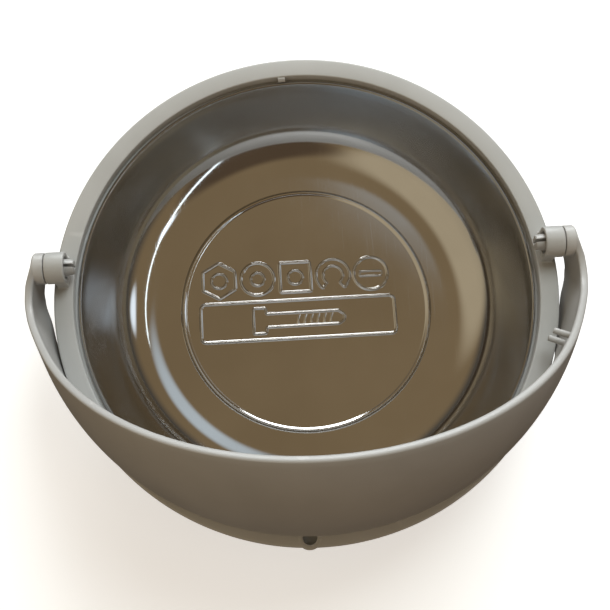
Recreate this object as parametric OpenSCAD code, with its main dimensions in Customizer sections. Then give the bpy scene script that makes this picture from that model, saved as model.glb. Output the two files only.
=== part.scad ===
// Parts sorting tray: a polished dish held in a moulded ring, on a magnetic foot,
// with a wide swinging bail hinged on two bosses of the ring.
// Origin at the centre of the underside, +Z up, +X along the hinge axis, +Y to the back.
// All lengths in millimetres.

/* [Dish] */
// outside diameter of the rolled rim
dish_d = 150; // [140:1:160]
// depth from the top of the rim to the floor
dish_depth = 25; // [20:1:32]
// thickness of the sheet
sheet_t = 0.8; // [0.6:0.1:1.2]
// diameter of the rolled rim bead
rim_bead_d = 1.4; // [1.2:0.1:3]
// mean radius of the raised ring pressed into the floor
floor_ring_r = 43; // [36:0.5:44]
// width of the raised ring pressed into the floor
floor_ring_w = 2; // [1.5:0.1:3]
// height of the raised ring pressed into the floor
floor_ring_h = 0.6; // [0.3:0.1:1]

/* [Holder ring] */
// outside radius of the flange
flange_or = 82.3; // [81:0.1:84]
// inside radius of the flange
flange_ir = 76; // [75.6:0.1:77]
// thickness of the flange
flange_t = 2.8; // [2:0.1:4]
// height of the turned-down outer lip
lip_h = 5.2; // [4:0.1:8]
// thickness of the outer lip
lip_t = 2; // [1.5:0.1:3]
// depth of the collar that surrounds the dish
collar_h = 16; // [10:0.5:20]
// distance of the dish rim below the flange top
rim_drop = 2; // [1:0.1:4]
// number of stiffening ribs under the flange
rib_n = 24; // [12:1:36]
// thickness of a stiffening rib
rib_t = 1.4; // [1:0.1:2]
// radius of the small cup at the front of the lip
nub_r = 3.8; // [3:0.1:5]
// sideways place of that cup
nub_x = -4; // [-6:0.5:6]

/* [Hinge] */
// height of the hinge axis above the flange top
pivot_up = 5.4; // [5:0.1:7]
// distance of the hinge axis behind the centre of the dish
pivot_back = 9.5; // [6:0.1:12]
// radius of a hinge boss
boss_r = 5.1; // [4.6:0.1:5.3]
// inner end of a boss, measured from the middle
boss_in = 77.1; // [76:0.1:78]
// outer end of a boss, measured from the middle
boss_out = 83.3; // [83:0.1:84]
// radius of the hinge pin
pin_r = 2.5; // [2:0.05:3]
// radial clearance round the hinge pin
pin_clear = 0.05; // [0.02:0.01:0.1]
// radius of the split head that keeps the pin in its boss
pin_head_r = 2.8; // [2.7:0.05:3.3]
// width of the slot that splits the pin
pin_slot = 1.1; // [0.6:0.1:1.3]

/* [Bail] */
// outside radius of the bail, seen from the side
bail_r = 88.5; // [88:0.1:90]
// half of the bail's outside width
bail_half = 89.8; // [88.5:0.1:91]
// wall thickness of the bail
bail_t = 2.4; // [2:0.1:3]
// slope of the upper edge above the flange, in degrees
edge_slope = 41; // [30:1:45]
// distance of the upper edge plane in front of the hinge axis
edge_off = 7; // [5:0.5:9]
// radius that blends the upper edge into the hinge pads
edge_blend = 12; // [8:1:20]
// how far the arms hang below the hinge axis
arm_drop = 12.5; // [8:0.5:14]
// gap between the resting bail and the flange top
rest_gap = 0.15; // [0.05:0.05:0.3]
// radius of the two small pegs inside the right arm
peg_r = 1; // [0.8:0.1:1.5]
// length of the two small pegs
peg_len = 5; // [3:0.5:6]
// height of each peg above the hinge axis, in degrees about it
peg_rise = [1.4, 7.8];

/* [Foot] */
// height of the underside of the dish above the bench
foot_h = 13.2; // [12:0.1:16]
// outside radius of the rubber foot
foot_r = 40; // [36:0.5:42]
// outside radius of the ring magnet
magnet_r = 35; // [30:0.5:36]
// radius of the hole in the ring magnet
magnet_hole_r = 16; // [12:0.5:18]
// thickness of the ring magnet
magnet_t = 9; // [7:0.5:10]
// thickness of the steel backing plate
plate_t = 1.5; // [1:0.1:2]

/* [Hidden] */
$fn = 96;
floor_z = foot_h + sheet_t;
rim_z = floor_z + dish_depth;
flange_z = rim_z + rim_drop;
pivot_z = flange_z + pivot_up;
bead_r = rim_bead_d / 2;
bead_c = dish_d / 2 - bead_r;
pad_in = boss_out + 0.3;
bail_ri = bail_r - bail_t;
magnet_z = foot_h - plate_t - magnet_t;
eps = 0.01;

// outline points of the dish's inner face, [radius, height above the floor]
dish_wall = [[48.5, 0], [52.6, 0.25], [55, 0.8], [57.6, 1.8], [60, 3.2], [62.3, 5],
             [64.1, 7], [65.7, 9.5], [67.1, 12], [70.3, 18], [72.6, 22.4]];

function arc(c, r, a0, a1, n) =
    [for (i = [0:n]) [c[0] + r * cos(a0 + (a1 - a0) * i / n), c[1] + r * sin(a0 + (a1 - a0) * i / n)]];

module pivot_axis_at(x) {
    translate([x, pivot_back, pivot_z]) rotate([0, 90, 0]) children();
}

// pressed sheet bowl with a rolled rim and a raised ring in its floor
module dish() {
    n = len(dish_wall) - 1;
    inner = [for (p = dish_wall) [p[0], floor_z + p[1]]];
    outer = [for (i = [n:-1:0]) [dish_wall[i][0] + sheet_t * (0.15 + 0.95 * i / n),
                                 floor_z + dish_wall[i][1] - sheet_t * (1 - 0.75 * i / n)]];
    w = floor_ring_w / 2;
    color([0.62, 0.61, 0.6]) union() {
        rotate_extrude() polygon(concat(
            [[0, foot_h], [0, floor_z], [floor_ring_r - w, floor_z],
             [floor_ring_r - w / 2, floor_z + floor_ring_h],
             [floor_ring_r + w / 2, floor_z + floor_ring_h], [floor_ring_r + w, floor_z]],
            inner, [[bead_c - 0.7, rim_z - bead_r], [bead_c + 0.3, rim_z - bead_r]], outer,
            [[48.5, foot_h]]));
        rotate_extrude() translate([bead_c, rim_z - bead_r]) circle(r = bead_r, $fn = 32);
    }
}

// one hinge boss with its pedestal, on the side s (1 right, -1 left)
module boss(s) {
    x0 = s > 0 ? boss_in : -boss_out;
    pivot_axis_at(x0) cylinder(r = boss_r, h = boss_out - boss_in);
    w = boss_r - 0.3;
    translate([s > 0 ? boss_in + 0.2 : -boss_out + 2.2, pivot_back - w, flange_z - 1])
        cube([boss_out - boss_in - 2.4, 2 * w, pivot_up + 0.5]);
}

// the holes that a hinge boss needs: running bore, and the pocket for the pin's head
module boss_holes(s) {
    pivot_axis_at(s > 0 ? boss_in - 5 : -boss_out - 5)
        cylinder(r = pin_r + pin_clear, h = boss_out - boss_in + 10);
    pivot_axis_at(s > 0 ? boss_in - 1 : -boss_in - 1.8) cylinder(r = 3.7, h = 2.8);
}

// flange, turned-down lip, collar, ribs, hinge bosses and rim catches in one moulding
module holder_ring() {
    color([0.66, 0.67, 0.64]) difference() {
        union() {
            rotate_extrude($fn = 192) polygon(concat(
                arc([flange_or - 0.6, flange_z - 0.6], 0.6, 0, 90, 4),
                arc([flange_ir + 0.4, flange_z - 0.4], 0.4, 90, 180, 3),
                [[flange_ir, rim_z - rim_bead_d - 0.1], [bead_c + 0.1, rim_z - rim_bead_d - 0.1],
                 [bead_c + 0.1, flange_z - collar_h], [flange_ir + 1.6, flange_z - collar_h],
                 [flange_ir + 1.8, flange_z - flange_t], [flange_or - lip_t, flange_z - flange_t],
                 [flange_or - lip_t, flange_z - lip_h], [flange_or - 0.3, flange_z - lip_h],
                 [flange_or, flange_z - lip_h + 0.3]]));
            for (i = [0:rib_n - 1]) rotate([0, 0, (i + 0.5) * 360 / rib_n])
                translate([flange_ir + 1, -rib_t / 2, flange_z - lip_h + 0.4])
                    cube([flange_or - lip_t - flange_ir, rib_t, lip_h - flange_t]);
            for (s = [-1, 1]) boss(s);
            for (a = [93.4, 273.4]) rotate([0, 0, a]) intersection() {
                translate([73.9, -1.2, rim_z + 0.3]) cube([3, 2.4, 1.2]);
                difference() {
                    cylinder(r = flange_ir + 0.6, h = flange_z);
                    cylinder(r = flange_ir - 1.6, h = flange_z);
                }
            }
            translate([nub_x, nub_r - flange_or - 0.6, flange_z - lip_h + 0.3])
                cylinder(r = nub_r, h = lip_h - 1);
        }
        for (s = [-1, 1]) boss_holes(s);
        translate([nub_x, nub_r - flange_or - 0.6, flange_z - 3.2]) cylinder(r = nub_r - 1.6, h = 3.5);
    }
}

// side outline of the bail about the hinge axis, [back, up]
module bail_side() {
    d = [-cos(edge_slope), sin(edge_slope)];
    m = [sin(edge_slope), cos(edge_slope)];
    t = sqrt(pow(boss_r + edge_blend, 2) - pow(edge_blend - edge_off, 2));
    c = -edge_off * m + t * d + edge_blend * m;
    a = atan2(-c[1], -c[0]);
    b = atan2(-m[1], -m[0]);
    r2 = 3;
    q = [-8, r2 - arm_drop];
    k = atan2(q[1], q[0]) + acos((boss_r - r2) / norm(q));
    low = -pivot_up + rest_gap;
    polygon(concat(
        arc(c, edge_blend, a, b, 10),
        [-edge_off * m + 100 * d, [-100, 70], [-100, low], [-38.2, low], [-36.6, low - 0.5],
         [-26.6, -arm_drop + 0.9], [-24.6, -arm_drop]],
        arc(q, r2, -90, k, 6),
        arc([0, 0], boss_r, k, atan2(c[1], c[0]) - 6, 18)));
}

// round body of the bail, drawn in by t; it narrows a little towards the hinge pads
module bail_body(t) {
    intersection() {
        translate([0, pivot_back, pivot_z]) scale([(bail_half - t) / (bail_r - t), 1, 1])
            sphere(r = bail_r - t, $fn = 192);
        translate([0, -8, -50]) cylinder(r = bail_half - t, h = 200, $fn = 180);
    }
}

// visor with two hinge pads, split snap pins and two small inner pegs
module bail() {
    color([0.6, 0.58, 0.54]) union() {
        intersection() {
            difference() {
                bail_body(0);
                bail_body(bail_t);
            }
            translate([-100, pivot_back, pivot_z]) rotate([90, 0, 90]) linear_extrude(200) bail_side();
        }
        for (s = [-1, 1]) hinge_pin(s);
        for (e = peg_rise) translate([0, pivot_back, pivot_z]) rotate([0, 0, -23.3])
            rotate([0, 90 - e, 0]) translate([0, 0, bail_ri - peg_len])
                cylinder(r = peg_r, h = peg_len + bail_t / 2 + 1);
    }
}

// pad, shaft and split head on the side s (1 right, -1 left)
module hinge_pin(s) {
    translate([0, pivot_back, pivot_z]) mirror([s > 0 ? 0 : 1, 0, 0]) difference() {
        rotate([0, 90, 0]) union() {
            translate([0, 0, pad_in]) cylinder(r = boss_r - 0.15, h = bail_half - 3.4 - pad_in);
            translate([0, 0, boss_in]) cylinder(r = pin_r, h = pad_in - boss_in + 1);
            translate([0, 0, boss_in + 0.3])
                cylinder(r1 = pin_head_r, r2 = pin_head_r - 0.2, h = 1.1);
            translate([0, 0, boss_in - 2.7]) cylinder(r1 = pin_head_r - 0.5, r2 = pin_head_r, h = 3);
        }
        translate([boss_in - 3, -pin_slot / 2, -5]) cube([6.2, pin_slot, 10]);
    }
}

// sintered ring magnet under the dish
module ring_magnet() {
    color([0.2, 0.2, 0.21]) translate([0, 0, magnet_z]) difference() {
        cylinder(r = magnet_r, h = magnet_t);
        translate([0, 0, -1]) cylinder(r = magnet_hole_r, h = magnet_t + 2);
    }
}

// steel disc between the magnet and the dish
module backing_plate() {
    color([0.55, 0.56, 0.58]) translate([0, 0, foot_h - plate_t]) difference() {
        cylinder(r = magnet_r + 1, h = plate_t);
        translate([0, 0, -1]) cylinder(r = 3.2, h = plate_t + 2);
    }
}

// rubber boot that covers the magnet and stands on the bench
module rubber_foot() {
    color([0.1, 0.1, 0.1]) rotate_extrude() polygon([
        [0, 0], [foot_r - 1, 0], [foot_r, 1], [foot_r, foot_h - 1],
        [foot_r - 0.6, foot_h - 0.2], [magnet_r + 1.2, foot_h - 0.2], [magnet_r + 1.2, magnet_z - 0.1],
        [magnet_hole_r + 5, magnet_z - 0.1], [magnet_hole_r + 5, 1], [0, 1]]);
}

// threaded stud welded under the dish
module weld_stud() {
    color([0.72, 0.73, 0.75]) translate([0, 0, 1.2]) cylinder(r = 2.95, h = foot_h - 1.2);
}

// moulded bush that centres the magnet, with a pocket for the nut
module centring_bush() {
    color([0.85, 0.84, 0.8]) difference() {
        union() {
            translate([0, 0, magnet_z - 1.2]) cylinder(r = magnet_hole_r + 4.5, h = 1.1);
            translate([0, 0, magnet_z - 1.2]) cylinder(r = magnet_hole_r - 0.15, h = magnet_t + 1);
        }
        translate([0, 0, -1]) cylinder(r = 3.2, h = foot_h);
        translate([0, 0, -1]) cylinder(r = 8.5, h = 7.6);
    }
}

// plain washer under the nut
module washer() {
    color([0.75, 0.76, 0.78]) translate([0, 0, 5.4]) difference() {
        cylinder(r = 6, h = 1.1);
        translate([0, 0, -1]) cylinder(r = 3.2, h = 4);
    }
}

// hexagon lock nut
module lock_nut() {
    color([0.75, 0.76, 0.78]) translate([0, 0, 1.3]) difference() {
        cylinder(r = 5.77, h = 4, $fn = 6);
        translate([0, 0, -1]) cylinder(r = 3, h = 6);
    }
}

dish();
holder_ring();
bail();
ring_magnet();
backing_plate();
rubber_foot();
weld_stud();
centring_bush();
washer();
lock_nut();
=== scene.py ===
"""Looks of the parts sorting tray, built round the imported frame. Lengths in millimetres unless noted."""

from math import acos, atan2, cos, degrees, pi, radians, sin, sqrt, tan

import bmesh
import bpy
import numpy as np
from mathutils import Matrix, Vector


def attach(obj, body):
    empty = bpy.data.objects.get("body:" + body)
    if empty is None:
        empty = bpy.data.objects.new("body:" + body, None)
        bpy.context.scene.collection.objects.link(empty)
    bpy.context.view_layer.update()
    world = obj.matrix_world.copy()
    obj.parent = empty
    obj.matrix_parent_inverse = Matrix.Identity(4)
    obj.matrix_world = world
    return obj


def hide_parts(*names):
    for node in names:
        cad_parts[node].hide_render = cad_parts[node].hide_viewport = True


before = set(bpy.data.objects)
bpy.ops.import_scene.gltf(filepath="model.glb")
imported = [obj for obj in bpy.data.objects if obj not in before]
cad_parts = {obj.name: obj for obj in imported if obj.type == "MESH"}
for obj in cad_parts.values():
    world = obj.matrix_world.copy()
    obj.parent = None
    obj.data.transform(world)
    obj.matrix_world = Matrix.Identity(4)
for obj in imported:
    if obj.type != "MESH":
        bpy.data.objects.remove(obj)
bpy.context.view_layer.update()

MM = 0.001
FOOT_H = 13.2
SHEET = 0.8
FLOOR_Z = FOOT_H + SHEET
RIM_Z = FLOOR_Z + 25.0
FLANGE_Z = RIM_Z + 2.0
PIVOT = np.array([0.0, 9.5, FLANGE_Z + 5.4])
FLANGE_OR, FLANGE_IR = 82.3, 76.0
RING_IR = 74.4
BOSS_R, BOSS_IN, BOSS_OUT = 5.1, 77.1, 83.3
NUB_X, NUB_R = -4.0, 3.8
BAIL_R, BAIL_T = 88.5, 2.4
BAIL_IR = BAIL_R - BAIL_T
# upper edge of the visor: slope, distance from the hinge axis, radius where it meets the pad
EDGE_SLOPE, EDGE_OFF, EDGE_BLEND = radians(41), 7.0, 12.0
# drop of the arms' lower edge, and the front's lower edge just over the lip, from the hinge axis
ARM_DROP = 12.5
LOW_V = -5.4 + 0.15
PEG_AZIMUTH, PEG_RISES = -23.3, (1.4, 7.8)
PEG_R, PEG_LEN, PEG_ROOT = 1.0, 5.0, 1.2
# bowl: wall angle, height of the curve at its foot, radius and height where the wall meets the bead
WALL_ANGLE, CURVE_H, WALL_R, WALL_H = radians(62), 12.0, 73.5, 24.3
BEAD_C, BEAD_R = (74.3, 24.3), 0.7
# pressed marks: shift of the row and plate, line widths and heights
MARK_X, MARK_Y = -3.3, -0.3
LINE_W, THIN_W, FINE_W, LINE_H = 1.3, 1.1, 0.9, 0.46
CIRCLE_R, CIRCLE_W, CIRCLE_H = 43.0, 2.2, 0.62
BOOT_R, MAGNET_R, MAGNET_IR, MAGNET_Z = 40.0, 36.2, 21.0, FOOT_H - 1.5 - 9.0


# ---------------------------------------------------------------- mesh helpers

def new_object(name, verts, faces, mat, body, replaces=(), sharp=35.0, weld=True):
    """A mesh object in metres that rides on a body; verts come in millimetres."""
    mesh = bpy.data.meshes.new(name)
    mesh.from_pydata([tuple(np.asarray(v) * MM) for v in verts], [], [tuple(f) for f in faces])
    bm = bmesh.new()
    bm.from_mesh(mesh)
    if weld:
        bmesh.ops.remove_doubles(bm, verts=bm.verts, dist=2e-6)
        bmesh.ops.dissolve_degenerate(bm, edges=bm.edges, dist=1e-7)
    bmesh.ops.recalc_face_normals(bm, faces=bm.faces)
    bm.to_mesh(mesh)
    bm.free()
    mesh.polygons.foreach_set("use_smooth", [True] * len(mesh.polygons))
    mesh.set_sharp_from_angle(angle=radians(sharp))
    mesh.materials.append(mat)
    obj = bpy.data.objects.new(name, mesh)
    bpy.context.scene.collection.objects.link(obj)
    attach(obj, body)
    for node in replaces:
        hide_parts(node)
    return obj


def fillet(points, radii, seg=5, closed=False):
    """Rounds the corners of a 2D polyline with arcs of the given radii."""
    pts = [np.array(p, float) for p in points]
    n = len(pts)
    radii = [radii] * n if np.isscalar(radii) else list(radii)
    out = []
    for i, p in enumerate(pts):
        r = radii[i]
        if r <= 0 or (not closed and i in (0, n - 1)):
            out.append(p)
            continue
        a, b = pts[i - 1] - p, pts[(i + 1) % n] - p
        la, lb = np.linalg.norm(a), np.linalg.norm(b)
        a, b = a / la, b / lb
        ang = acos(max(-1.0, min(1.0, float(a @ b))))
        if ang < 1e-3 or abs(pi - ang) < 1e-3:
            out.append(p)
            continue
        cut = min(r / tan(ang / 2), 0.48 * la, 0.48 * lb)
        r = cut * tan(ang / 2)
        mid = (a + b) / np.linalg.norm(a + b)
        c = p + mid * (r / sin(ang / 2))
        v0, v1 = p + a * cut - c, p + b * cut - c
        turn = atan2(v0[0] * v1[1] - v0[1] * v1[0], float(v0 @ v1))
        for k in range(seg + 1):
            t = turn * k / seg
            out.append(c + np.array([v0[0] * cos(t) - v0[1] * sin(t), v0[0] * sin(t) + v0[1] * cos(t)]))
    return out


def arc(c, r, a0, a1, n):
    """Points of a 2D arc, angles in degrees."""
    return [np.array([c[0] + r * cos(radians(a0 + (a1 - a0) * i / n)),
                      c[1] + r * sin(radians(a0 + (a1 - a0) * i / n))]) for i in range(n + 1)]


def lathe(profile, seg=192, axis="Z", centre=(0, 0, 0), a0=0.0, a1=360.0, loop=True):
    """Verts and faces of a (radius, height) profile turned about an axis; open arcs get end caps."""
    full = abs(a1 - a0) >= 359.99
    n = len(profile)
    turns = seg if full else seg + 1
    verts, faces = [], []
    for i in range(turns):
        a = radians(a0 + (a1 - a0) * i / seg)
        for r, h in profile:
            p = (r * cos(a), r * sin(a), h) if axis == "Z" else (h, r * cos(a), r * sin(a))
            verts.append(np.array(p) + np.array(centre))
    for i in range(seg):
        j = (i + 1) % turns
        for k in range(n if loop else n - 1):
            m = (k + 1) % n
            faces.append((i * n + k, j * n + k, j * n + m, i * n + m))
    if not full:
        faces.append(tuple(range(n)))
        faces.append(tuple(reversed(range(seg * n, seg * n + n))))
    return verts, faces


def extrude(section, x0, x1, place):
    """Prism of a closed 2D section between x0 and x1; place maps (x, a, b) to a point."""
    n = len(section)
    verts = [place(x, a, b) for x in (x0, x1) for a, b in section]
    faces = [(k, (k + 1) % n, n + (k + 1) % n, n + k) for k in range(n)]
    faces += [tuple(reversed(range(n))), tuple(range(n, 2 * n))]
    return verts, faces


def join(parts):
    """One verts, faces pair out of several."""
    verts, faces = [], []
    for v, f in parts:
        base = len(verts)
        verts += list(v)
        faces += [tuple(base + i for i in face) for face in f]
    return verts, faces


def cut(obj, part, sharp=35.0):
    """Cuts a closed solid, given as verts and faces in millimetres, out of an object's mesh."""
    mesh = bpy.data.meshes.new("cutter")
    mesh.from_pydata([tuple(np.asarray(p) * MM) for p in part[0]], [], part[1])
    bm = bmesh.new()
    bm.from_mesh(mesh)
    bmesh.ops.remove_doubles(bm, verts=bm.verts, dist=2e-6)
    bmesh.ops.recalc_face_normals(bm, faces=bm.faces)
    bm.to_mesh(mesh)
    bm.free()
    cutter = bpy.data.objects.new("cutter", mesh)
    bpy.context.scene.collection.objects.link(cutter)
    mod = obj.modifiers.new("cut", "BOOLEAN")
    mod.operation, mod.solver, mod.object = "DIFFERENCE", "EXACT", cutter
    bpy.context.view_layer.update()
    done = bpy.data.meshes.new_from_object(obj.evaluated_get(bpy.context.evaluated_depsgraph_get()))
    obj.modifiers.clear()
    obj.data = done
    done.polygons.foreach_set("use_smooth", [True] * len(done.polygons))
    done.set_sharp_from_angle(angle=radians(sharp))
    bpy.data.objects.remove(cutter)


def on_side(part, side):
    """A part made for the right side, or its mirror image for side -1."""
    v, f = part
    if side > 0:
        return v, f
    return [np.array([-p[0], p[1], p[2]]) for p in v], [tuple(reversed(face)) for face in f]


SIDES = ((1, "right"), (-1, "left"))


# ---------------------------------------------------------------- materials

class Nodes:
    """Small helper that adds shader nodes and links them."""

    def __init__(self, name):
        self.mat = bpy.data.materials.new(name)
        self.mat.use_nodes = True
        self.tree = self.mat.node_tree
        self.bsdf = self.tree.nodes["Principled BSDF"]

    def add(self, kind, **values):
        node = self.tree.nodes.new(kind)
        for key, value in values.items():
            if key.startswith("in_"):
                name = key[3:]
                node.inputs[int(name) if name.isdigit() else name.replace("_", " ")].default_value = value
            else:
                setattr(node, key, value)
        return node

    def link(self, a, b):
        self.tree.links.new(a, b)

    def coords(self, scale=(1, 1, 1), rot=(0, 0, 0)):
        tc = self.add("ShaderNodeTexCoord")
        mp = self.add("ShaderNodeMapping")
        mp.inputs["Scale"].default_value = scale
        mp.inputs["Rotation"].default_value = rot
        self.link(tc.outputs["Object"], mp.inputs["Vector"])
        return mp.outputs["Vector"]

    def noise(self, scale, detail=3.0, rough=0.5, vec=None):
        node = self.add("ShaderNodeTexNoise", in_Scale=scale, in_Detail=detail, in_Roughness=rough)
        self.link(vec if vec is not None else self.coords(), node.inputs["Vector"])
        return node.outputs["Fac"]

    def remap(self, src, a, b, c, d):
        node = self.add("ShaderNodeMapRange", in_1=a, in_2=b, in_3=c, in_4=d)
        self.link(src, node.inputs[0])
        return node.outputs[0]

    def math(self, op, a, b):
        node = self.add("ShaderNodeMath", operation=op)
        for i, v in enumerate((a, b)):
            if isinstance(v, (int, float)):
                node.inputs[i].default_value = v
            else:
                self.link(v, node.inputs[i])
        return node.outputs[0]

    def ramp(self, src, stops):
        node = self.add("ShaderNodeValToRGB")
        el = node.color_ramp.elements
        while len(el) < len(stops):
            el.new(0.5)
        for e, (pos, col) in zip(el, stops):
            e.position = pos
            e.color = (*col, 1.0)
        self.link(src, node.inputs[0])
        return node.outputs[0]

    def bump(self, height, strength, distance, normal=None):
        node = self.add("ShaderNodeBump", in_Strength=strength, in_Distance=distance)
        self.link(height, node.inputs["Height"])
        if normal is not None:
            self.link(normal, node.inputs["Normal"])
        return node.outputs["Normal"]


def polished_steel():
    m = Nodes("polished_steel")
    cloud = m.noise(22.0, 3.0, 0.55)
    hair1 = m.noise(1.0, 2.0, 0.5, m.coords((2600, 60, 60), (0, 0, 0.5)))
    hair2 = m.noise(1.0, 2.0, 0.5, m.coords((2300, 50, 50), (0, 0, -0.9)))
    scratch = m.math("MAXIMUM", m.remap(hair1, 0.66, 0.74, 0, 1), m.remap(hair2, 0.66, 0.74, 0, 1))
    pos = m.coords()
    split = m.add("ShaderNodeSeparateXYZ")
    m.link(pos, split.inputs[0])
    # mirror floor; up the drawn wall it is duller, and its base colour is darker and greyer, painted shade for the
    # darker reflections there
    wall = m.remap(split.outputs["Z"], 0.0175, 0.026, 0.0, 1.0)
    painted_wall_shade = m.add("ShaderNodeMix", data_type="RGBA")
    m.link(wall, painted_wall_shade.inputs["Factor"])
    m.link(m.ramp(cloud, [(0.3, (0.60, 0.585, 0.565)), (0.7, (0.68, 0.67, 0.655))]), painted_wall_shade.inputs["A"])
    m.link(m.ramp(cloud, [(0.3, (0.37, 0.375, 0.38)), (0.7, (0.45, 0.455, 0.46))]), painted_wall_shade.inputs["B"])
    m.link(painted_wall_shade.outputs["Result"], m.bsdf.inputs["Base Color"])
    rough = m.math("ADD", m.remap(cloud, 0.3, 0.7, 0.055, 0.10), m.math("MULTIPLY", scratch, 0.06))
    m.link(m.math("ADD", rough, m.math("MULTIPLY", wall, 0.09)), m.bsdf.inputs["Roughness"])
    m.bsdf.inputs["Metallic"].default_value = 1.0
    wave = m.noise(75.0, 1.0, 0.4)
    # fine upright lines that drawing leaves on the wall
    turn = m.add("ShaderNodeTexGradient", gradient_type="RADIAL")
    m.link(pos, turn.inputs["Vector"])
    line = m.add("ShaderNodeCombineXYZ")
    m.link(m.math("MULTIPLY", turn.outputs["Fac"], 420.0), line.inputs[0])
    m.link(m.math("MULTIPLY", split.outputs["Z"], 110.0), line.inputs[2])
    up_wall = m.remap(split.outputs["Z"], 0.0155, 0.021, 0, 1)
    drawn = m.math("MULTIPLY", m.noise(1.0, 3.0, 0.6, line.outputs[0]), up_wall)
    normal = m.bump(drawn, 0.02, 0.0002, m.bump(wave, 0.05, 0.0004))
    m.link(m.bump(scratch, 0.03, 0.0001, normal), m.bsdf.inputs["Normal"])
    return m.mat


def moulded_plastic(name, dark, light, rough):
    m = Nodes(name)
    cloud = m.noise(38.0, 4.0, 0.6)
    grain = m.noise(2600.0, 2.0, 0.6)
    # sharp convex edges are mixed towards a brighter tone: a painted highlight along the edges
    geo = m.add("ShaderNodeNewGeometry")
    painted_edge_highlight = m.remap(geo.outputs["Pointiness"], 0.52, 0.58, 0.0, 1.0)
    base = m.ramp(cloud, [(0.3, dark), (0.7, light)])
    mix = m.add("ShaderNodeMix", data_type="RGBA")
    m.link(m.math("MULTIPLY", painted_edge_highlight, 0.35), mix.inputs["Factor"])
    m.link(base, mix.inputs["A"])
    mix.inputs["B"].default_value = (*[min(1.0, c * 1.35) for c in light], 1.0)
    m.link(mix.outputs["Result"], m.bsdf.inputs["Base Color"])
    patches = m.remap(cloud, 0.3, 0.7, rough - 0.04, rough + 0.05)
    m.link(m.math("ADD", patches, m.remap(grain, 0.3, 0.7, -0.03, 0.03)), m.bsdf.inputs["Roughness"])
    m.link(m.bump(grain, 0.14, 0.00006), m.bsdf.inputs["Normal"])
    return m.mat


def rubber():
    m = Nodes("black_rubber")
    grain = m.noise(1500.0, 3.0, 0.65)
    dust = m.noise(55.0, 4.0, 0.6)
    m.link(m.ramp(dust, [(0.35, (0.012, 0.012, 0.012)), (0.75, (0.035, 0.034, 0.032))]), m.bsdf.inputs["Base Color"])
    m.link(m.remap(grain, 0.3, 0.7, 0.62, 0.8), m.bsdf.inputs["Roughness"])
    m.link(m.bump(grain, 0.3, 0.0001), m.bsdf.inputs["Normal"])
    return m.mat


def plain_metal(name, dark, light, rough, metallic=1.0, scale=180.0):
    m = Nodes(name)
    cloud = m.noise(scale, 4.0, 0.6)
    m.link(m.ramp(cloud, [(0.3, dark), (0.7, light)]), m.bsdf.inputs["Base Color"])
    m.link(m.remap(cloud, 0.3, 0.7, rough - 0.06, rough + 0.08), m.bsdf.inputs["Roughness"])
    m.bsdf.inputs["Metallic"].default_value = metallic
    m.link(m.bump(m.noise(scale * 8, 2.0, 0.5), 0.1, 0.00005), m.bsdf.inputs["Normal"])
    return m.mat


STEEL = polished_steel()
RING = moulded_plastic("ring_plastic", (0.405, 0.40, 0.385), (0.445, 0.44, 0.425), 0.42)
BAIL = moulded_plastic("bail_plastic", (0.395, 0.385, 0.37), (0.435, 0.425, 0.41), 0.36)
RUBBER = rubber()
ZINC = plain_metal("zinc_steel", (0.55, 0.56, 0.57), (0.68, 0.69, 0.70), 0.32)
PLATE = plain_metal("plate_steel", (0.38, 0.39, 0.40), (0.5, 0.51, 0.52), 0.4)
FERRITE = plain_metal("ferrite", (0.03, 0.03, 0.032), (0.06, 0.06, 0.065), 0.6, 0.0)
NYLON = plain_metal("bush_plastic", (0.6, 0.59, 0.54), (0.7, 0.69, 0.64), 0.45, 0.0)

for node, mat in (("ring_magnet", FERRITE), ("backing_plate", PLATE), ("weld_stud", ZINC),
                  ("centring_bush", NYLON), ("washer", ZINC), ("lock_nut", ZINC)):
    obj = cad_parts[node]
    obj.data.materials.clear()
    obj.data.materials.append(mat)


# ---------------------------------------------------------------- dish

def dish_inner():
    """Inner face of the bowl from the middle to the top of the wall: (radius, height above the floor)."""
    n = 60
    s = (np.arange(n) + 0.5) / n
    # curvature that eases in and out, summed to the wall's angle
    k = np.minimum(1.0, np.minimum(s, 1 - s) / 0.22)
    k = k * k * (3 - 2 * k)
    th = np.cumsum(k)
    th = th / th[-1] * WALL_ANGLE
    xs = np.concatenate([[0], np.cumsum(np.cos(th))]) / n
    zs = np.concatenate([[0], np.cumsum(np.sin(th))]) / n
    size = CURVE_H / zs[-1]
    wall = (WALL_H - CURVE_H) / sin(WALL_ANGLE)
    r0 = WALL_R - xs[-1] * size - wall * cos(WALL_ANGLE)
    pts = [(r, 0.0) for r in (0.0, 12.0, 24.0, 34.0, 42.0)]
    pts += [(r0 + x * size, z * size) for x, z in zip(xs, zs)]
    r1, z1 = pts[-1]
    run, rise = wall * cos(WALL_ANGLE), wall * sin(WALL_ANGLE)
    return pts + [(r1 + run * t, z1 + rise * t) for t in (0.2, 0.4, 0.6, 0.8)]


def build_dish():
    inner = dish_inner()
    bead = arc(BEAD_C, BEAD_R, 152, -95, 22)
    outer = []
    for i in range(len(inner) - 1, 4, -1):
        a, b = np.array(inner[i - 1]), np.array(inner[min(i + 1, len(inner) - 1)])
        t = (b - a) / np.linalg.norm(b - a)
        outer.append((inner[i][0] + t[1] * SHEET, inner[i][1] - t[0] * SHEET))
    outer = [p for p in outer if p[1] < 23.4]
    profile = [(r, FLOOR_Z + z) for r, z in inner] + [(p[0], FLOOR_Z + p[1]) for p in bead]
    profile += [(r, FLOOR_Z + z) for r, z in outer] + [(40.0, FOOT_H), (0.0, FOOT_H)]
    v, f = lathe(profile, 320)
    new_object("dish_shell", v, f, STEEL, "tray", ["dish"], sharp=50)


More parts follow.
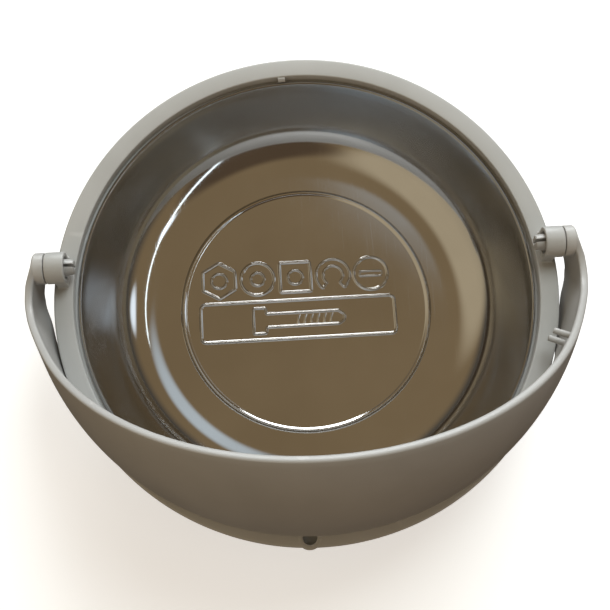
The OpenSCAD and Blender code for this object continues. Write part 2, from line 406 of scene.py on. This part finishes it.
def ridge(path, width, height, closed=True):
    """A soft raised line on the dish floor that follows a 2D path."""
    p = [np.array(q, float) for q in path]
    n = len(p)
    m = 8
    verts, faces = [], []
    for i in range(n):
        a = p[(i - 1) % n] if closed or i else p[0]
        b = p[(i + 1) % n] if closed or i < n - 1 else p[-1]
        t = (b - a) / max(1e-9, np.linalg.norm(b - a))
        nrm = np.array([-t[1], t[0]])
        end = 1.0 if closed or 0 < i < n - 1 else 0.0
        for j in range(m + 1):
            e = 2.0 * j / m - 1.0
            q = p[i] + nrm * (e * width / 2)
            h = height * cos(e * pi / 2) ** 2 * end
            verts.append((q[0] + MARK_X, q[1] + MARK_Y, FLOOR_Z + 0.012 + h))
        for j in (m, 0):
            q = p[i] + nrm * ((2.0 * j / m - 1.0) * width / 2)
            verts.append((q[0] + MARK_X, q[1] + MARK_Y, FLOOR_Z - 0.25))
    w = m + 3
    for i in range(n if closed else n - 1):
        k = (i + 1) % n
        for j in range(w):
            l = (j + 1) % w
            faces.append((i * w + j, k * w + j, k * w + l, i * w + l))
    if not closed:
        faces.append(tuple(reversed(range(w))))
        faces.append(tuple(range((n - 1) * w, n * w)))
    return verts, faces


def ngon(c, r, n, turn=0.0, corner=0.6):
    pts = [(c[0] + r * cos(radians(turn + 360 * i / n)), c[1] + r * sin(radians(turn + 360 * i / n)))
           for i in range(n)]
    return fillet(pts, corner, 4, closed=True)


def ring_path(c, r, n=48):
    return [(c[0] + r * cos(2 * pi * i / n), c[1] + r * sin(2 * pi * i / n)) for i in range(n)]


def outline(points, corner, seg, width, height=LINE_H):
    """Raised closed line along a polygon with rounded corners."""
    return ridge(fillet(points, corner, seg, closed=True), width, height)


def build_marks():
    centre = (-MARK_X, -MARK_Y)
    circle = [(p[0] + centre[0], p[1] + centre[1]) for p in ring_path((0, 0), CIRCLE_R, 240)]
    parts = [ridge(circle, CIRCLE_W, CIRCLE_H)]
    # a row of generic small-part outlines: nut, washer, square nut, clip, slotted head
    y = 11.8
    nut, washer, square, clip, head = -27.0, -13.4, 0.0, 13.4, 26.8
    parts += [ridge(ngon((nut, y), 6.6, 6, 30), LINE_W, LINE_H), ridge(ring_path((nut, y), 2.7), THIN_W, LINE_H)]
    parts += [ridge(ring_path((washer, y), 5.9, 64), LINE_W, LINE_H),
              ridge(ring_path((washer, y), 2.4), THIN_W, LINE_H)]
    parts += [ridge(ngon((square, y), 7.7, 4, 45), LINE_W, LINE_H),
              ridge(ring_path((square, y), 2.6), THIN_W, LINE_H)]
    parts += [outline(arc((clip, y), 6.0, -50, 230, 48) + arc((clip, y), 3.5, 230, -50, 36), 0.6, 3, THIN_W)]
    parts += [ridge(ring_path((head, y), 6.0, 64), LINE_W, LINE_H),
              outline([(head - 3.9, y - 0.9), (head + 3.9, y - 0.9), (head + 3.9, y + 0.9), (head - 3.9, y + 0.9)],
                      0.5, 3, FINE_W, LINE_H * 0.8)]
    # a plain plate outline with a bolt lying in it
    parts += [outline([(-33.8, -10.4), (34.4, -10.4), (34.4, 3.4), (-33.8, 3.4)], 1.8, 5, LINE_W)]
    yb = -3.5
    bolt = [(-15.5, yb - 4.6), (-11.0, yb - 4.6), (-11.0, yb - 2.4), (14.5, yb - 2.4), (16.5, yb - 1.0),
            (16.5, yb + 1.0), (14.5, yb + 2.4), (-11.0, yb + 2.4), (-11.0, yb + 4.6), (-15.5, yb + 4.6)]
    parts += [outline(bolt, 0.6, 3, THIN_W)]
    for i in range(6):
        x = 0.4 + 2.3 * i
        thread = [(x - 0.4, yb - 1.7), (x - 0.1, yb - 0.6), (x + 0.1, yb + 0.6), (x + 0.4, yb + 1.7)]
        parts.append(ridge(thread, FINE_W, LINE_H * 0.8, closed=False))
    v, f = join(parts)
    new_object("dish_pressed_marks", v, f, STEEL, "tray", sharp=60, weld=False)


# ---------------------------------------------------------------- holder ring

def build_ring():
    z = FLANGE_Z
    section = [(FLANGE_IR, z), (FLANGE_OR, z), (FLANGE_OR, z - 5.2), (FLANGE_OR - 2, z - 5.2),
               (FLANGE_OR - 2, z - 2.8), (FLANGE_IR + 1.8, z - 2.8), (FLANGE_IR + 1.6, z - 16),
               (RING_IR, z - 16), (RING_IR, RIM_Z - 1.5), (FLANGE_IR, RIM_Z - 1.5)]
    prof = fillet(section, [0.45, 0.75, 0.5, 0.4, 0.5, 0.6, 0.5, 0.5, 0.4, 0.3], 4, closed=True)
    parts = [lathe(prof, 384)]
    # two small teeth that hold the bowl down, and the ribs under the lip
    for a in (93.4, 273.4):
        tooth = fillet([(RING_IR, RIM_Z + 0.3), (76.6, RIM_Z + 0.3), (76.6, RIM_Z + 1.5), (75.4, RIM_Z + 1.5)],
                       0.25, 3, closed=True)
        parts.append(lathe(tooth, 6, a0=a - 0.9, a1=a + 0.9))
    for i in range(24):
        a = radians((i + 0.5) * 15)
        rib = fillet([(-0.7, z - 4.8), (0.7, z - 4.8), (0.7, z - 2.5), (-0.7, z - 2.5)], [0.3, 0.3, 0, 0], 3, True)

        def place(x, s, h, a=a):
            return np.array([x * cos(a) - s * sin(a), x * sin(a) + s * cos(a), h])
        parts.append(extrude(rib, 77.0, 80.8, place))
    v, f = join(parts)
    ring = new_object("holder_ring_moulding", v, f, RING, "tray", ["holder_ring"], sharp=40)
    nub_y = NUB_R - FLANGE_OR - 0.6
    well = [(0, z - 3.2), (3.0, z - 3.2), (3.0, z + 1), (0, z + 1)]
    cut(ring, lathe(well, 48, centre=(NUB_X, nub_y, 0), loop=False))

    # hinge bosses with pocket, bore and pedestal
    loop = fillet([(BOSS_R, BOSS_IN), (BOSS_R, BOSS_OUT), (2.55, BOSS_OUT), (2.55, BOSS_IN + 1.8),
                   (3.7, BOSS_IN + 1.8), (3.7, BOSS_IN)], [0.5, 0.35, 0.2, 0.1, 0.2, 0.3], 4, closed=True)
    boss = lathe(loop, 96, "X", (0, PIVOT[1], PIVOT[2]))
    zf = FLANGE_Z - PIVOT[2]
    w = BOSS_R - 0.25
    foot = arc((-w - 0.7, zf + 0.7), 0.7, -90, 0, 4) + [np.array([-w, -1.5])]
    foot += arc((0, 0), w - 0.25, 200, 340, 14)
    foot += [np.array([w, -1.5])] + arc((w + 0.7, zf + 0.7), 0.7, 180, 270, 4)
    foot += [np.array([w + 0.7, zf - 0.5]), np.array([-w - 0.7, zf - 0.5])]
    pedestal = extrude(foot, BOSS_IN + 0.25, 80.9, lambda x, a, b: np.array([x, PIVOT[1] + a, PIVOT[2] + b]))
    for side, name in SIDES:
        v, f = on_side(join([boss, pedestal]), side)
        new_object("hinge_boss_" + name, v, f, RING, "tray")

    # small round cup at the front of the lip
    cup = fillet([(0, z - 4.9), (NUB_R, z - 4.9), (NUB_R, z + 0.06), (2.2, z + 0.06), (2.2, z - 3.1),
                  (0, z - 3.1)], [0, 0.3, 0.45, 0.35, 0.2, 0], 4)
    v, f = lathe(cup, 64, centre=(NUB_X, nub_y, 0), loop=False)
    new_object("front_cup", v, f, RING, "tray")


# ---------------------------------------------------------------- bail

def bail_edges(count):
    """Directions of the upper and lower edge from the rear tip of the right pad to the front centre."""
    # all in the side view, from the hinge axis: d runs up the edge, m is square to it
    d = np.array([-cos(EDGE_SLOPE), sin(EDGE_SLOPE)])
    m = np.array([sin(EDGE_SLOPE), cos(EDGE_SLOPE)])
    t = sqrt((BOSS_R + EDGE_BLEND) ** 2 - (EDGE_BLEND - EDGE_OFF) ** 2)
    c = -EDGE_OFF * m + t * d + EDGE_BLEND * m
    a = degrees(atan2(-c[1], -c[0]))
    b = degrees(atan2(-m[1], -m[0]))
    tip = 14.0
    up = arc((0, 0), BOSS_R, tip, degrees(atan2(c[1], c[0])), 40) + arc(c, EDGE_BLEND, a, b, 40)[1:]
    r_up = sqrt(BAIL_R ** 2 - EDGE_OFF ** 2)
    psi0 = atan2(t, sqrt(r_up ** 2 - t ** 2))
    for i in range(1, 301):
        s = r_up * sin(psi0 + (pi / 2 - psi0) * i / 300)
        up.append(-EDGE_OFF * m + s * d)
    k = degrees(atan2(3 - ARM_DROP, -8)) + degrees(acos((BOSS_R - 3) / sqrt(64 + (ARM_DROP - 3) ** 2)))
    low = arc((0, 0), BOSS_R, tip, k, 24)
    tail = fillet([low[-1], (-7.0, -ARM_DROP), (-31.5, -ARM_DROP), (-38.8, LOW_V), (-45.0, LOW_V)],
                  [0, 3.0, 4.0, 3.0, 0], 8)
    dense = []
    for p, q in zip(tail[:-1], tail[1:]):
        n = max(1, int(np.linalg.norm(q - p) / 0.5))
        dense += [p + (q - p) * i / n for i in range(1, n + 1)]
    low += dense
    r_low = sqrt(BAIL_R ** 2 - LOW_V ** 2)
    psi0 = atan2(45.0, sqrt(r_low ** 2 - 45.0 ** 2))
    for i in range(1, 241):
        s = r_low * sin(psi0 + (pi / 2 - psi0) * i / 240)
        low.append(np.array([-s, LOW_V]))
    out = []
    for path in (up, low):
        p3 = np.array([[sqrt(max(0.0, BAIL_R ** 2 - q[0] ** 2 - q[1] ** 2)), q[0], q[1]] for q in path])
        p3[-1, 0] = 0.0
        s = np.concatenate([[0], np.cumsum(np.linalg.norm(np.diff(p3, axis=0), axis=1))])
        w = np.linspace(0, 1, count + 1)
        w = w * 0.75 + 0.25 * w ** 1.6
        out.append(np.stack([np.interp(w * s[-1], s, p3[:, i]) for i in range(3)], 1))
    return out


def slerp(a, b, t):
    om = acos(max(-1.0, min(1.0, float(a @ b))))
    if om < 1e-6:
        return a
    return (a * sin((1 - t) * om) + b * sin(t * om)) / sin(om)


def smooth(t):
    t = max(0.0, min(1.0, t))
    return t * t * (3 - 2 * t)


def bend(p):
    """Sideways swell of the arms in front of the hinge and their pinch at the pads."""
    u = float(p[1])
    wide = 11.0 if u < -12.5 else 9.5
    swell = 1.9 * np.exp(-((u + 12.5) / wide) ** 2) * smooth((p[2] + 15.0) / 14.0 + (u + 14.0) / 12.0)
    pinch = 1.35 * smooth((u + 6.5) / 7.0)
    corner = 0.15 * np.exp(-((u + 35.5) / 4.0) ** 2) * smooth((4.0 - p[2]) / 8.0)
    only_sides = smooth((abs(p[0]) - 50.0) / 20.0)
    return np.array([p[0] + np.sign(p[0]) * (swell - pinch + corner) * only_sides, p[1], p[2]])


def build_bail():
    half = 170
    up, low = bail_edges(half)
    flip = np.array([-1.0, 1.0, 1.0])
    up = np.concatenate([up, (up * flip)[-2::-1]])
    low = np.concatenate([low, (low * flip)[-2::-1]])
    rows = len(up)
    # steps from edge to edge, radius of the edge rounding and its steps
    cross, rc, seg = 26, 0.75, 4
    r_in = BAIL_IR
    edge_dirs = {}
    for key, path, sign in (("up", up, -1.0), ("low", low, 1.0)):
        tang = np.gradient(path, axis=0)
        dirs = path / np.linalg.norm(path, axis=1)[:, None]
        out = []
        for i in range(rows):
            t = tang[i] / max(1e-9, np.linalg.norm(tang[i]))
            e = np.cross(dirs[i], t) * sign
            out.append((dirs[i], e / max(1e-9, np.linalg.norm(e))))
        edge_dirs[key] = out
    # at the pad tips both edges run the same way round, so the outward direction is the tip's own
    for i in (0, rows - 1):
        tip = up[i] / np.linalg.norm(up[i])
        e = tip - np.array([np.sign(up[i][0]), 0, 0]) * float(tip[0] * np.sign(up[i][0]))
        e = e - tip * float(e @ tip)
        e = e / np.linalg.norm(e)
        for key in edge_dirs:
            edge_dirs[key][i] = (tip, e)
    prof = [(BAIL_R - rc + rc * cos(a), -rc + rc * sin(a)) for a in np.linspace(0, pi / 2, seg + 1)]
    prof += [(r_in + rc - rc * cos(a), -rc + rc * sin(a)) for a in np.linspace(pi / 2, 0, seg + 1)]
    verts = []
    for i in range(rows):
        loop = []
        ends = {}
        for key in ("up", "low"):
            dv, e = edge_dirs[key][i]
            ends[key] = [dv * r + e * h for r, h in prof]
        for r, first in ((BAIL_R, True), (r_in, False)):
            a = ends["low"][0 if first else -1]
            b = ends["up"][0 if first else -1]
            a, b = a / np.linalg.norm(a), b / np.linalg.norm(b)
            line = [slerp(a, b, j / cross) * r for j in range(cross + 1)]
            if first:
                loop += line + ends["up"][1:-1]
            else:
                loop += line[::-1] + ends["low"][-2:0:-1]
        verts += [bend(p) + PIVOT for p in loop]
    n = len(verts) // rows
    faces = [(i * n + k, i * n + (k + 1) % n, (i + 1) * n + (k + 1) % n, (i + 1) * n + k)
             for i in range(rows - 1) for k in range(n)]
    new_object("bail_visor", verts, faces, BAIL, "bail", ["bail"], sharp=60)

    # hinge pads, split snap pins
    x_in = BOSS_OUT + 0.3
    pad = fillet([(0, x_in), (BOSS_R - 0.02, x_in), (BOSS_R - 0.02, BAIL_R - 1.9), (0, BAIL_R - 1.9)],
                 [0, 0.35, 0, 0], 3)
    shaft = fillet([(0, BOSS_IN - 2.7), (2.35, BOSS_IN - 2.7), (2.8, BOSS_IN + 0.3), (2.7, BOSS_IN + 1.4),
                    (2.5, BOSS_IN + 1.45), (2.5, x_in + 0.6), (0, x_in + 0.6)],
                   [0, 0.6, 0.35, 0.1, 0, 0, 0], 4)
    y, z = PIVOT[1], PIVOT[2]
    for side, name in SIDES:
        v, f = on_side(lathe(pad, 96, "X", (0, y, z), loop=False), side)
        new_object("hinge_pad_" + name, v, f, BAIL, "bail")
        v, f = on_side(lathe(shaft, 96, "X", (0, y, z), loop=False), side)
        pin = new_object("snap_pin_" + name, v, f, BAIL, "bail")
        x0, x1 = (BOSS_IN - 4) * side, (BOSS_IN + 3.2) * side
        cut(pin, ([(x, y + a, z + b) for x in (x0, x1) for a in (-0.55, 0.55) for b in (-5, 5)],
                  [(0, 1, 3, 2), (4, 6, 7, 5), (0, 4, 5, 1), (2, 3, 7, 6), (0, 2, 6, 4), (1, 5, 7, 3)]))

    # two small pegs on the inner face of the right arm
    length = PEG_LEN + PEG_ROOT
    tip = fillet([(0, 0), (PEG_R, 0), (PEG_R, length), (0, length)], [0, 0.75, 0, 0], 5)
    parts = []
    for rise in PEG_RISES:
        az, el = radians(PEG_AZIMUTH), radians(rise)
        axis = np.array([cos(az) * cos(el), sin(az) * cos(el), sin(el)])
        side = np.cross(axis, [0, 0, 1])
        side /= np.linalg.norm(side)
        other = np.cross(axis, side)
        v, f = lathe(tip, 40, "Z", loop=False)
        parts.append(([PIVOT + side * p[0] + other * p[1] + axis * (r_in - PEG_LEN + p[2]) for p in v], f))
    v, f = join(parts)
    new_object("guide_pegs", v, f, BAIL, "bail")


# ---------------------------------------------------------------- foot

def build_foot():
    r, top, under = BOOT_R, FOOT_H - 0.25, MAGNET_Z - 0.1
    sec = [(0, 0), (r, 0), (r, 4.0), (r - 0.5, 4.5), (r, 5.0), (r, top), (MAGNET_R, top),
           (MAGNET_R, under), (MAGNET_IR, under), (MAGNET_IR, 1.0), (0, 1.0)]
    prof = fillet(sec, [0, 1.2, 0.25, 0.3, 0.25, 0.7, 0.3, 0.2, 0.2, 0.2, 0], 4)
    v, f = lathe(prof, 192, loop=False)
    new_object("rubber_boot", v, f, RUBBER, "tray", ["rubber_foot"])


build_dish()
build_marks()
build_ring()
build_bail()
build_foot()


# ---------------------------------------------------------------- floor, light, camera

# floor, in metres: half its side, and how far it lies under the object; it also glows a little
FLOOR_HALF, FLOOR_GAP, FLOOR_GLOW = 3.0, 0.0003, 0.5
WHITE_COOL, WHITE_SOFT, WINDOW_BLUE, WARM = (0.88, 0.97, 1.0), (0.94, 0.98, 1.0), (0.78, 0.92, 1.0), (1.0, 0.77, 0.55)


def build_stage():
    mesh = bpy.data.meshes.new("floor")
    s = FLOOR_HALF
    mesh.from_pydata([(-s, -s, 0), (s, -s, 0), (s, s, 0), (-s, s, 0)], [], [(0, 1, 2, 3)])
    floor = bpy.data.objects.new("floor", mesh)
    bpy.context.scene.collection.objects.link(floor)
    floor.location.z = -FLOOR_GAP
    m = Nodes("pale_floor")
    m.link(m.ramp(m.noise(3.0, 2.0), [(0.3, (0.80, 0.80, 0.795)), (0.7, (0.84, 0.84, 0.835))]),
           m.bsdf.inputs["Base Color"])
    m.bsdf.inputs["Roughness"].default_value = 0.9
    m.bsdf.inputs["Emission Color"].default_value = (1.0, 1.0, 1.0, 1.0)
    m.bsdf.inputs["Emission Strength"].default_value = FLOOR_GLOW
    mesh.materials.append(m.mat)
    floor.visible_diffuse = False
    floor.visible_glossy = False


def area(name, where, target, size, power, colour, along=(0, 1, 0), glossy=True, diffuse=True):
    """Soft rectangular light; size is (short side, long side), along is the long side's direction."""
    light = bpy.data.lights.new(name, "AREA")
    light.shape = "RECTANGLE"
    light.size, light.size_y = size
    light.energy = power
    light.color = colour
    z = (Vector(where) - Vector(target)).normalized()
    y = Vector(along)
    y = (y - z * y.dot(z)).normalized()
    x = y.cross(z)
    obj = bpy.data.objects.new(name, light)
    obj.matrix_world = Matrix.Translation(where) @ Matrix((x, y, z)).transposed().to_4x4()
    obj.visible_glossy = glossy
    obj.visible_diffuse = diffuse
    bpy.context.scene.collection.objects.link(obj)


def sky_dir(polar, azimuth):
    """Unit vector from the angle off the zenith and the azimuth, in degrees."""
    p, a = radians(polar), radians(azimuth)
    return (sin(p) * cos(a), sin(p) * sin(a), cos(p))


def build_world():
    """A warm room: beige ceiling, cream wall on the left, dark front, pale glow at the back right, two bright spots
    on the right."""
    world = bpy.data.worlds.new("studio")
    bpy.context.scene.world = world
    world.use_nodes = True
    tree = world.node_tree
    bg = tree.nodes["Background"]
    tc = tree.nodes.new("ShaderNodeTexCoord")

    def mask(direction, inner, outer):
        dot = tree.nodes.new("ShaderNodeVectorMath")
        dot.operation = "DOT_PRODUCT"
        tree.links.new(tc.outputs["Generated"], dot.inputs[0])
        dot.inputs[1].default_value = direction
        mr = tree.nodes.new("ShaderNodeMapRange")
        mr.interpolation_type = "SMOOTHSTEP"
        mr.inputs[1].default_value = cos(radians(outer))
        mr.inputs[2].default_value = cos(radians(inner))
        tree.links.new(dot.outputs["Value"], mr.inputs[0])
        return mr.outputs[0]

    last = None
    for direction, inner, outer, colour in SKY:
        mix = tree.nodes.new("ShaderNodeMix")
        mix.data_type = "RGBA"
        if last is None:
            mix.inputs["A"].default_value = (*SKY_BASE, 1.0)
        else:
            tree.links.new(last, mix.inputs["A"])
        mix.inputs["B"].default_value = (*colour, 1.0)
        tree.links.new(mask(direction, inner, outer), mix.inputs["Factor"])
        last = mix.outputs["Result"]
    tree.links.new(last, bg.inputs["Color"])
    bg.inputs["Strength"].default_value = 1.0


# camera: distance and shift of its aim off the middle of the lip, in millimetres, tilt and roll, and lens
CAM_DIST, CAM_SHIFT = 319.8, (0.8144, 5.6683)
CAM_TILT, CAM_ROLL = (radians(-1.59), radians(14.42)), radians(3.41)
CAM_SENSOR, CAM_LENS = 36.0, 57.9364


def build_camera():
    c = np.array([tan(CAM_TILT[0]), -tan(CAM_TILT[1]), 1.0])
    c /= np.linalg.norm(c)
    x = np.cross([sin(CAM_ROLL), cos(CAM_ROLL), 0.0], c)
    x /= np.linalg.norm(x)
    y = np.cross(c, x)
    pos = (np.array([0, 0, FLANGE_Z]) + CAM_DIST * c - CAM_SHIFT[0] * x - CAM_SHIFT[1] * y) * MM
    cam = bpy.data.cameras.new("camera")
    cam.sensor_width = CAM_SENSOR
    cam.lens = CAM_LENS
    cam.clip_start = 0.01
    obj = bpy.data.objects.new("camera", cam)
    obj.matrix_world = Matrix.Translation(Vector(pos)) @ Matrix((x, y, c)).transposed().to_4x4()
    bpy.context.scene.collection.objects.link(obj)
    bpy.context.scene.camera = obj


# patches of the surroundings: direction, inner and outer angle of the soft edge in degrees, colour
SKY_BASE = (0.235, 0.17, 0.095)
SKY = [
    (sky_dir(180, 0), 98, 120, (0.075, 0.07, 0.062)),  # horizon
    (sky_dir(180, 0), 70, 92, (0.06, 0.05, 0.042)),  # below the horizon
    (sky_dir(50, 195), 30, 46, (0.49, 0.41, 0.28)),  # cream wall on the left
    (sky_dir(48, 292), 20, 34, (0.10, 0.068, 0.042)),  # dark front
    (sky_dir(34, 60), 6, 17, (0.60, 0.68, 0.74)),  # pale glow at the back right
    (sky_dir(38, 347), 2, 5.5, (1.5, 1.7, 1.9)),  # bright spot on the right
    (sky_dir(64, 14), 2, 9, (1.2, 1.35, 1.5)),  # lower bright patch on the right
]

build_stage()
build_world()
area("side_window", (0.80, -0.41, 1.02), (0, 0, 0.02), (0.055, 2.1), 1.0, WINDOW_BLUE, (0.228, -0.974, 0),
     diffuse=False)
area("key", (0.30, 0.60, 1.05), (0, 0, 0.03), (0.5, 0.7), 8.8, WHITE_COOL, glossy=False)
area("back_soft", (0.08, 0.95, 0.30), (0, -0.06, 0.06), (0.7, 0.4), 8.0, WHITE_SOFT)
for side, name in SIDES[::-1]:
    area("fill_" + name, (side * 0.85, -0.6, 0.45), (0, 0, 0.03), (0.5, 0.4), 1.45, WARM, glossy=False)
build_camera()
bpy.context.scene.view_settings.view_transform = "Standard"
